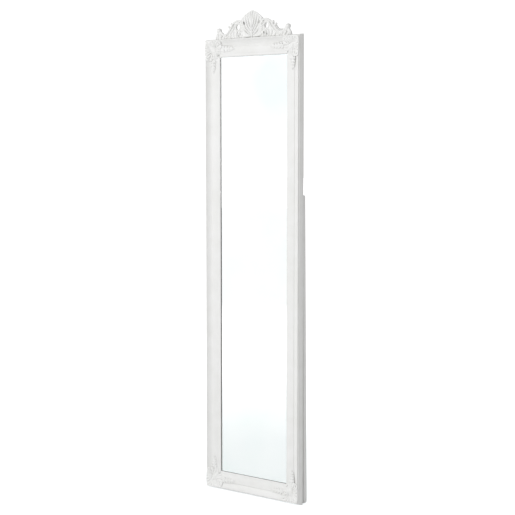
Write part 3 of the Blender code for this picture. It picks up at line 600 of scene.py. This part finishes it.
def crest_carving():
    """Strokes of the crest's right half: shell, scroll, leaves under the scroll, and finial."""
    lines = []
    # Ribs that leave the shell's middle vein and fan out to its rim, the last ones drooping.
    for start, end, rise, wide in (
        ((2.5, 38), (9.0, 80.5), -1.5, 5.2),
        ((3.0, 29), (18.5, 75.5), -3.5, 5.2),
        ((3.5, 21), (28.5, 69.5), -5.5, 5.2),
        ((4.5, 14), (37.5, 62.0), -8.0, 4.8),
        ((6, 9), (39, 46), -8.5, 4.4),
        ((9, 8), (41, 32), -6.5, 4.4),
        ((13, 7), (42, 19), -4.0, 4.2),
    ):
        lines.append(pad(bow(start, end, rise, 14) + [end], (1.2, 3.4, wide), (2.4, 4.0, 3.1)))
    lines.append(stroke(bow((1, 90.0), (42, 64.5), 3.0, 14) + [(42, 64.5)], 2.0, 0.6, 0.9, 0.9))
    # The scroll: an outer and an inner ridge that start in a curl beside the shell.
    outer = volute((45, 42.5), 2.2, 9.0, -60, -0.62, 14)
    outer += bow((43, 54), (57, 60), 1.8, 6) + bow((57, 60), (82, 46.5), 3.4, 9)
    outer += bow((82, 46.5), (121, 12), -3.5, 12) + [(121, 12)]
    lines.append(stroke(outer, 3.6, 1.4, 0.55, 0.6, 0.45))
    inner = bow((50, 50), (59, 53.0), 1.6, 6) + bow((59, 53.0), (75, 41), 3.0, 7)
    inner += bow((75, 41), (109, 9), -3.2, 11) + [(109, 9)]
    lines.append(stroke(inner, 3.0, 0.6, 0.5, 0.5, 0.45))
    eye = oval(*SCROLL_EYE, 10.0, 10.2, 0, 28)
    lines.append([(x, y, 0.0, 1.8) for x, y in eye + eye[:2]])
    # Leaves that stand under the scroll.
    for start, end, rise, wide in (
        ((47, 6), (48, 24), 2.0, 3.4),
        ((55, 6), (55.5, 25), 0.0, 3.0),
        ((65, 6), (66, 22), -2.0, 3.6),
        ((75, 6), (79, 24), -3.0, 4.4),
        ((87, 6), (93, 15), -2.5, 4.4),
    ):
        lines.append(pad(bow(start, end, rise, 9) + [end], (2.0, 3.4, wide), (1.8, 3.0, 3.2)))
    for centre in ((49.5, 24.5), (64.5, 23)):
        lines.append(stroke(volute(centre, 0.8, 3.6, 0, 1.1, 12), 1.5, 2.0, 0.9, 0.6))
    # Crockets on the scroll's back.
    for start, end in (((82, 42), (87.5, 50.5)), ((92, 34), (98.5, 42))):
        lines.append(stroke(bow(start, end, 1.2, 6) + [end], 4.1, 0.2, 0.6, 1.0, 0.85))
    # The finial: a round knob on two sweeping leaves with a curl in front.
    for start, end, rise, wide in (
        ((120, 7), (136, 27), 3.0, 4.4),
        ((154.5, 7), (148, 21), -2.6, 3.8),
        ((133, 7), (141, 26), 1.5, 4.8),
        ((146, 7), (148, 19), -1.0, 3.6),
        ((111, 7), (122, 16), 2.0, 3.4),
    ):
        lines.append(pad(bow(start, end, rise, 10) + [end], (2.4, 3.6, wide), (2.2, 3.2, 3.4)))
    lines.append(stroke([(142, 32.4), (144.5, 32.4)], 8.7, -2.4, 0.97, 0.97))
    lines.append(stroke(volute((135, 15), 1.0, 5.8, 200, -1.15, 16), 1.9, 2.8, 0.8, 0.6))
    return lines


def crown_forward(points):
    """Bow the casting forward at its middle; its foot, its tip and its back batten stay in line."""
    across, height, level = points[:, 0] / MM, points[:, 1] / MM, points[:, 2] / MM
    share = np.interp(level, (CREST_PLATE_LEVEL, CREST_BACK_LEVEL), (0, 1))
    share *= np.interp(height, (4, 34, 66, 92), (0, 1, 1, 0))
    crown = np.clip(1 - (across / CREST_BATTEN[0]) ** 2, 0, 1)
    moved = points.copy()
    moved[:, 2] += CREST_CROWN * MM * crown * share
    return moved


def build_crest():
    """The pierced and carved crest, cast in one piece."""
    holes, slots = [], []
    for side in (-1, 1):
        holes.append(oval(side * SCROLL_EYE[0], SCROLL_EYE[1], 8.2, 8.4, 0, 24))
        slots.append(oval(side * 32.0, 51.0, 3.2, 5.6, side * -0.4, 16))
        slots.append(oval(side * 49.0, 17, 1.3, 4.8, side * -0.1, 14))
        slots.append(oval(side * 59.8, 12.5, 1.3, 4.6, side * 0.1, 14))
    ground = slab("crest_carving", [crest_outline(), *holes], CREST_BACK_LEVEL, 0)
    reach, top = CREST_BATTEN
    foot = [(-reach, CREST_FOOT_CAST), (reach, CREST_FOOT_CAST), (reach, top), (-reach, top)]
    batten = slab("crest_batten", [foot], CREST_PLATE_LEVEL, CREST_BACK_LEVEL + 1)
    vein = pad([(0, h) for h in range(7, 90, 4)], (2.4, 3.0, 3.0), (3.4, 4.9, 3.2))
    swell = pad([(0, h) for h in range(5, 78, 4)], (30, 40, 22), (2.4, 3.7, 2.5))
    ribs = strokes("crest_ribs", [vein, swell] + mirrored(crest_carving()))
    in_edit_mode(ribs, saw((0, 0, CREST_BACK_LEVEL * MM), (0, 0, -1)))
    take(ribs, batten)
    bpy.ops.object.join()
    crest = cast(ground, ribs, CARVING_VOXEL, CREST_WEAR)
    pierce(crest, slots, CREST_BACK_LEVEL + CREST_SLOT_FLOOR, CUTTER_TOP)
    move_points(crest, crown_forward)
    upright = Matrix.Rotation(math.radians(90), 4, "X")
    crest.data.transform(Matrix.Translation((0, ARRIS_Y + CREST_FACE * MM, ARRIS_TOP)) @ upright)
    in_edit_mode(crest, saw((0, 0, ARRIS_TOP + CREST_FOOT * MM), (0, 0, -1)), face_outwards)
    crest.data.materials.clear()
    crest.data.materials.append(RESIN_LACQUER)
    smooth_by_angle(crest, 60)
    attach(crest, "frame")
    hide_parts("crest")


# ---------------------------------------------------------------- corner ornaments

CORNER_RAIL_LENGTH, CORNER_STILE_LENGTH = 124, 110      # mm, along the rail and along the stile
CORNER_BEND = 60                    # mm from the corner, past which the stile's spray is shortened

SPRAY_JOINTS = (66, 79, 91, 102)    # mm from the corner, where the spray's leaves leave its stem
SPRAY_INSET = 28.5                  # mm from the arris to the spray's stem
SPRAY_TAPER = 0.12                  # how much smaller each pair of leaves is than the one before
CORNER_ROOT = -3.6                  # mm, how far the casting reaches down into the moulding's hollow
CORNER_GROUND = 0.9                 # mm, the ground's thickness over the moulding
EYE_FLOOR = 0.2                     # mm over the moulding, where the drilled eyes end
MITRE_SOFTNESS = 3.0                # mm, the rounding of the crease where the legs meet

# Where the ornament's ground lies over the moulding, as inset and depth behind the arris in mm.
SEAT = ((-8, -0.1), (0, 0.0), (3, 1.0), (11, 4.4), (19.6, 7.8), (25.2, 8.0), (48, 10.9), (55, 12.6),
        (60, 13))


def corner_outline():
    """The ornament's ground as (along the rail, along the stile), in mm from the arris's corner."""
    round_corner = bow((-1.2, 9), (9, -1.2), -3.0, 8)
    leg = [
        *bow((9, -1.2), (32, -1.0), -0.6, 5),
        *bow((32, -1.0), (55, 0.5), -0.6, 5),
        *bow((55, 0.5), (66, 9), -2.5, 5),
        *bow((66, 9), (68, 24), 1.0, 5),
        *bow((68, 24), (118, 28), -0.8, 8),
        *bow((118, 28), (66, 33), -0.8, 8),
        *bow((66, 33), (58, 41), -1.0, 5),
        *bow((58, 41), (52, 52), 1.0, 5),
    ]
    across = [(v, u) for u, v in reversed(leg[1:])]
    return round_corner + leg + across


def corner_carving():
    """Strokes of the leg along the rail; the other leg is its twin across the mitre."""
    lines = []
    # Lobes that fan out along the arris.
    for start, end, rise, wide in (
        ((22, 17), (16.5, 4.4), 1.0, 5.0),
        ((27, 18), (27.5, 4.0), 0.6, 5.2),
        ((32, 19), (39.0, 4.2), -1.2, 5.2),
        ((37, 21), (50.5, 5.4), -2.0, 5.2),
        ((43, 23), (60.5, 10.0), -2.4, 4.8),
        ((47, 26), (63.5, 20.0), -1.4, 4.2),
    ):
        lines.append(pad(bow(start, end, rise, 10) + [end], (2.0, 3.8, wide), (3.4, 4.0, 3.0)))
    # Side lobes of the mitre leaf.
    for start, end, rise, wide in (
        ((30, 27), (59, 33), 1.5, 3.6),
        ((33, 32), (56, 42), 1.6, 3.2),
    ):
        lines.append(pad(bow(start, end, rise, 10) + [end], (2.4, 4.2, wide), (3.2, 4.0, 2.4)))
    # The spray: a stem with small leaves in pairs, a berry between them, and a leaf at the tip.
    stem = bow((54, 26), (86, SPRAY_INSET), -0.8, 12)
    stem += bow((86, SPRAY_INSET), (120, SPRAY_INSET), 0.6, 10)
    lines.append(stroke(stem, 1.9, 1.0, 0.9, 0.6, 0.3))
    for index, u in enumerate(SPRAY_JOINTS):
        size = 1 - SPRAY_TAPER * index
        for aside in (-1, 1):
            for reach, out, bulge, wide, high in (
                    (12, 9.0, 2.6, 3.3, 3.4), (14, 4.4, 1.2, 2.2, 3.2)):
                end = (u + reach * size, SPRAY_INSET + aside * out * size)
                route = bow((u, SPRAY_INSET + aside * 1.2), end, aside * bulge, 9) + [end]
                lines.append(pad(route, (1.6 * size, wide * size, 1.6 * size), (2.2, high * size, 1.8)))
        lines.append(stroke([(u + 7, SPRAY_INSET), (u + 8, SPRAY_INSET)], 1.9 * size, 2.0, 1.0, 1.0))
    lines.append(stroke(bow((108, 28.3), (121, 28.8), 0.8, 8), 2.6, 0.7, 0.5, 0.4, 0.5))
    return lines


def corner_eyes():
    """The eyes drilled between the leaves, as (along the rail, along the stile, radius)."""
    eyes = [(69.5, 5.0, 1.5), (68.0, 22.5, 1.5), (62.0, 27.0, 1.4), (61.5, 37.5, 1.5), (50.0, 47.5, 1.4),
            (22.5, 2.8, 1.0), (33.5, 2.6, 1.1), (45.0, 3.0, 1.1), (56.5, 8.5, 1.2)]
    for index, u in enumerate(SPRAY_JOINTS[1:]):
        size = 1 - SPRAY_TAPER * index
        for aside in (-1, 1):
            eyes.append((u - 1.5, SPRAY_INSET + aside * 6.2 * size, 1.5 * size))
    return eyes


def corner_casting():
    """One ornament laid flat: x along the rail, y along the stile, z its height."""
    lines = []
    for line in corner_carving():
        lines.append(line)
        lines.append([(v, u, z, radius) for u, v, z, radius in line])
    diagonal = bow((22, 22), (51, 51), 0, 16) + [(51, 51)]
    lines.append(pad(diagonal, (7.5, 11.5, 3.0), (4.2, 6.2, 3.2)))
    lines.append(stroke([(u, v) for u, v in diagonal[2:-2]], 1.3, 5.0, 0.6, 0.5, 0.4, rear=4.0))
    lines.append(pad([(18, 18), (12, 12), (6.5, 6.5)], (3.0, 4.4, 5.2), (3.6, 3.6, 3.0)))
    ground = slab("corner_casting", [corner_outline()], CORNER_ROOT, CORNER_GROUND)
    ribs = strokes("corner_ribs", lines)
    in_edit_mode(ribs, saw((0, 0, CORNER_ROOT * MM), (0, 0, -1)))
    casting = cast(ground, ribs, CORNER_VOXEL, CORNER_WEAR)
    eyes = corner_eyes()
    eyes += [(v, u, radius) for u, v, radius in eyes]
    rings = [oval(u, v, radius, radius, 0, 14) for u, v, radius in eyes]
    pierce(casting, rings, EYE_FLOOR, PIN_CUTTER_TOP)
    return casting


def bend_over_moulding(points):
    """Shorten the stile's spray and lay the flat casting over the moulding and round its mitre."""
    u, v, height = points[:, 0] / MM, points[:, 1] / MM, points[:, 2]
    shorter = (CORNER_STILE_LENGTH - CORNER_BEND) / (CORNER_RAIL_LENGTH - CORNER_BEND)
    v = np.where(v > CORNER_BEND, CORNER_BEND + (v - CORNER_BEND) * shorter, v)
    # A soft minimum: the inset follows the nearer edge and rounds the crease at the mitre.
    inset = (u + v - np.sqrt((u - v) ** 2 + MITRE_SOFTNESS ** 2)) / 2
    seat = np.interp(inset, [a for a, _ in SEAT], [d for _, d in SEAT])
    return np.stack([u * MM, seat * MM - height, v * MM], axis=1)


def build_corners():
    """The casting bent over the mouldings once and set in all four corners."""
    model = corner_casting()
    move_points(model, bend_over_moulding)
    model.data.materials.clear()
    model.data.materials.append(RESIN_LACQUER)
    for label, edge, up in (("top", ARRIS_TOP, 1), ("bottom", ARRIS_BOTTOM, -1)):
        for side_name, side in (("left", -1), ("right", 1)):
            name = f"{label}_{side_name}_corner"
            corner = bpy.data.objects.new(name + "_carving", model.data.copy())
            bpy.context.scene.collection.objects.link(corner)
            flip = Matrix.Diagonal((-side, 1, -up, 1))
            corner.data.transform(Matrix.Translation((side * ARRIS_X, ARRIS_Y, edge)) @ flip)
            in_edit_mode(corner, face_outwards)
            take(corner)
            bpy.ops.object.shade_smooth()
            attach(corner, "frame")
            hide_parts(name + "_leaf")
    bpy.data.objects.remove(model)


# ---------------------------------------------------------------- pieces kept from the model

def finish_of(name):
    """A kept piece's material, its slot, and the angle past which its edges stay sharp."""
    if name == "glass_pane":
        return FLOAT_GLASS, "glass", 30
    if name == "silver_coat":
        return SILVER, "silver", 30
    if name == "backing_board":
        return HARDBOARD, "fibreboard", 30
    if name.endswith("foot_pad"):
        return FELT, "felt", 50
    if name.endswith("stand_post"):
        return UPRIGHT_LACQUER, "painted_wood", 35
    if name.endswith("stand_rail"):
        return LEVEL_LACQUER, "painted_wood", 35
    return ZINC, "zinc_steel", 32


def finish_kept_pieces():
    """Materials and shading for the pieces that keep the model's own mesh."""
    for name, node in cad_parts.items():
        if node.hide_render:
            continue
        finish, slot, angle = finish_of(name)
        node.data.materials.clear()
        node.data.materials.append(finish)
        node.data.polygons.foreach_set("use_smooth", [True] * len(node.data.polygons))
        node.data.polygons.foreach_set("material_index", [0] * len(node.data.polygons))
        join = node.modifiers.new("join_triangles", "WELD")
        join.merge_threshold = WELD_REACH
        split = node.modifiers.new("sharp_edges", "EDGE_SPLIT")
        split.split_angle = math.radians(angle)


# ---------------------------------------------------------------- studio

def build_camera():
    """The camera, a little above the mirror's middle and to its right."""
    bpy.ops.object.camera_add(
        location=CAMERA_PLACE, rotation=[math.radians(angle) for angle in CAMERA_TURN])
    camera = bpy.context.object
    camera.data.lens = CAMERA_LENS
    camera.data.sensor_width = CAMERA_SENSOR
    bpy.context.scene.camera = camera


def build_key_light():
    """A square studio soft box at the left front, which the pane does not show."""
    bpy.ops.object.light_add(type="AREA", location=KEY_PLACE)
    lamp = bpy.context.object
    lamp.name = "key_soft_box"
    way = Vector(KEY_AIM) - Vector(KEY_PLACE)
    lamp.rotation_euler = way.to_track_quat("-Z", "Y").to_euler()
    lamp.data.size = KEY_SIZE
    lamp.data.energy = KEY_POWER
    lamp.visible_transmission = False


def by_ray(tree, lit, seen, through_pane):
    """One value for light that falls on the piece, one for the eye, one for what the pane shows."""
    rays = add(tree, "ShaderNodeLightPath")
    direct = add(tree, "ShaderNodeMapRange", {
        "Value": rays.outputs["Is Camera Ray"], "To Min": lit, "To Max": seen})
    chosen = add(tree, "ShaderNodeMapRange", {
        "Value": rays.outputs["Is Transmission Ray"], "To Min": direct.outputs["Result"],
        "To Max": through_pane})
    return chosen.outputs["Result"]


def faint_cloud(tree, place, centre, reach, colour):
    """White with one soft patch of a pale colour about a place."""
    away = add(tree, "ShaderNodeVectorMath", {0: place, 1: centre}, operation="DISTANCE")
    share = spread(tree, away.outputs["Value"], 0.0, 1.0, reach * CLOUD_CORE, reach)
    return mix(tree, share, linear(colour), linear("#ffffff"))


def build_floor():
    """Seamless white paper, lit from below so that it runs into the room without an edge."""
    bpy.ops.mesh.primitive_plane_add(size=FLOOR_SIZE, location=(0, 0, -FLOOR_DROP))
    floor = bpy.context.object
    floor.name = "studio_floor"
    paper, tree, shader = blank_finish("seamless_paper", Roughness=0.9)
    place = add(tree, "ShaderNodeTexCoord").outputs["Object"]
    tree.links.new(ramp(tree, noise(tree, 900), 0.3, 0.7, "#e9e9e9", "#ececec"),
                   shader.inputs["Base Color"])
    tree.links.new(faint_cloud(tree, place, *FLOOR_CLOUD), shader.inputs["Emission Color"])
    tree.links.new(by_ray(tree, FLOOR_FILL, FLOOR_SEEN, FLOOR_IN_PANE),
                   shader.inputs["Emission Strength"])
    floor.data.materials.append(paper)


def build_room():
    """A white room all round, with its brighter side at the left front."""
    world = bpy.data.worlds.new("white_room")
    world.use_nodes = True
    bpy.context.scene.world = world
    tree = world.node_tree
    tree.nodes.clear()
    way = add(tree, "ShaderNodeTexCoord").outputs["Generated"]
    facing = add(tree, "ShaderNodeVectorMath", {0: way, 1: BRIGHT_SIDE}, operation="DOT_PRODUCT")
    lit = spread(tree, facing.outputs["Value"], ROOM_DIM, ROOM_BRIGHT, -1.0, 1.0)
    light = add(tree, "ShaderNodeBackground", {
        "Color": faint_cloud(tree, way, *WALL_CLOUD),
        "Strength": by_ray(tree, lit, ROOM_SEEN, ROOM_IN_PANE)})
    add(tree, "ShaderNodeOutputWorld", {"Surface": light.outputs[0]})
    bpy.context.scene.view_settings.view_transform = "Standard"


build_camera()
build_mouldings()
build_crest()
build_corners()
finish_kept_pieces()
build_floor()
build_key_light()
build_room()
